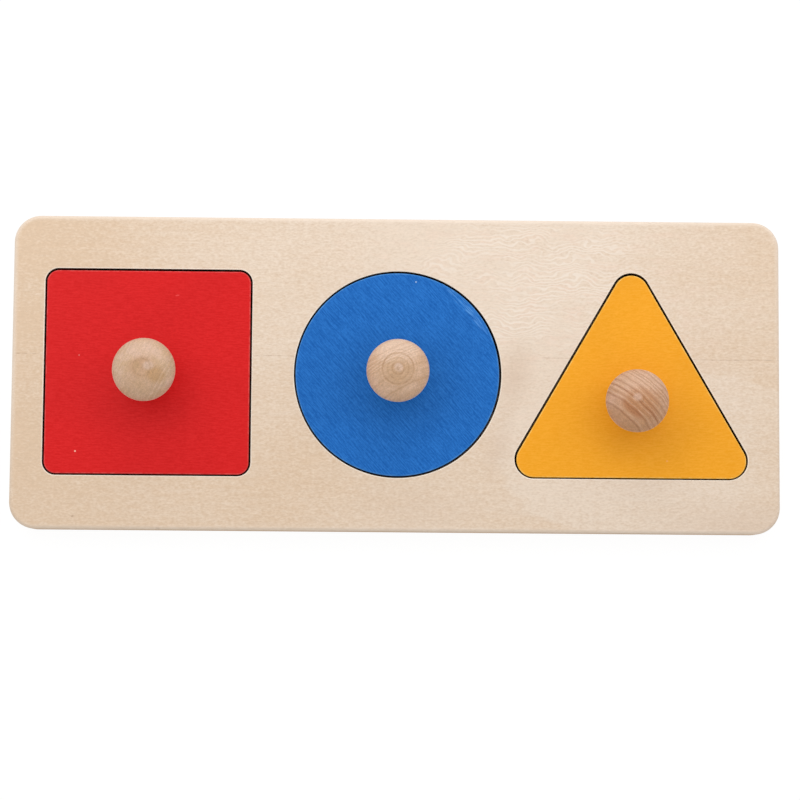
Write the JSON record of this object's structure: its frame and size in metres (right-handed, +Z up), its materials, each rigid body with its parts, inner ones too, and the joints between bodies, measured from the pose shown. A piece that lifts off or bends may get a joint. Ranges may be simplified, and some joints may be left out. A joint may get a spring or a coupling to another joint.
{
  "type": "wooden shape puzzle",
  "caption": "Plywood puzzle board with recesses for a red square, a blue circle and a yellow triangle, each lifted out by a bare turned wooden ball knob.",
  "frame": {"origin": "centre of the board's underside", "axes": "+Z up out of the board's face, +X along the board from the square to the triangle, +Y the way the triangle points"},
  "size_m": [0.3, 0.1226, 0.0365],
  "materials": {
    "plywood": "bare pale plywood, sanded",
    "red_paint": "satin paint with the grain showing",
    "blue_paint": "satin paint with the grain showing",
    "yellow_paint": "satin paint with the grain showing",
    "turned_wood": "bare turned wood, sanded",
    "screw_steel": "zinc-plated steel"
  },
  "bodies": {
    "board": {"back_panel": "plywood", "face_panel": "plywood"},
    "square_piece": {"square_inset": "red_paint", "square_knob": "turned_wood", "square_knob_screw": "screw_steel"},
    "circle_screw": {"circle_knob_screw": "screw_steel"},
    "circle_piece": {"circle_inset": "blue_paint", "circle_knob": "turned_wood"},
    "triangle_piece": {"triangle_inset": "yellow_paint", "triangle_knob": "turned_wood", "triangle_knob_screw": "screw_steel"}
  },
  "joints": [
    {"name": "square_lift", "type": "slide", "parent": "board", "child": "square_piece", "axis": [0, 0, 1], "range_m": [0, 0.05]},
    {"name": "circle_lift", "type": "slide", "parent": "board", "child": "circle_screw", "axis": [0, 0, 1], "range_m": [0, 0.05]},
    {"name": "circle_turn", "type": "hinge", "parent": "circle_screw", "child": "circle_piece", "pos_m": [0.0004, 0, 0.012], "axis": [0, 0, 1], "continuous": true},
    {"name": "triangle_lift", "type": "slide", "parent": "board", "child": "triangle_piece", "axis": [0, 0, 1], "range_m": [0, 0.05]}
  ]
}
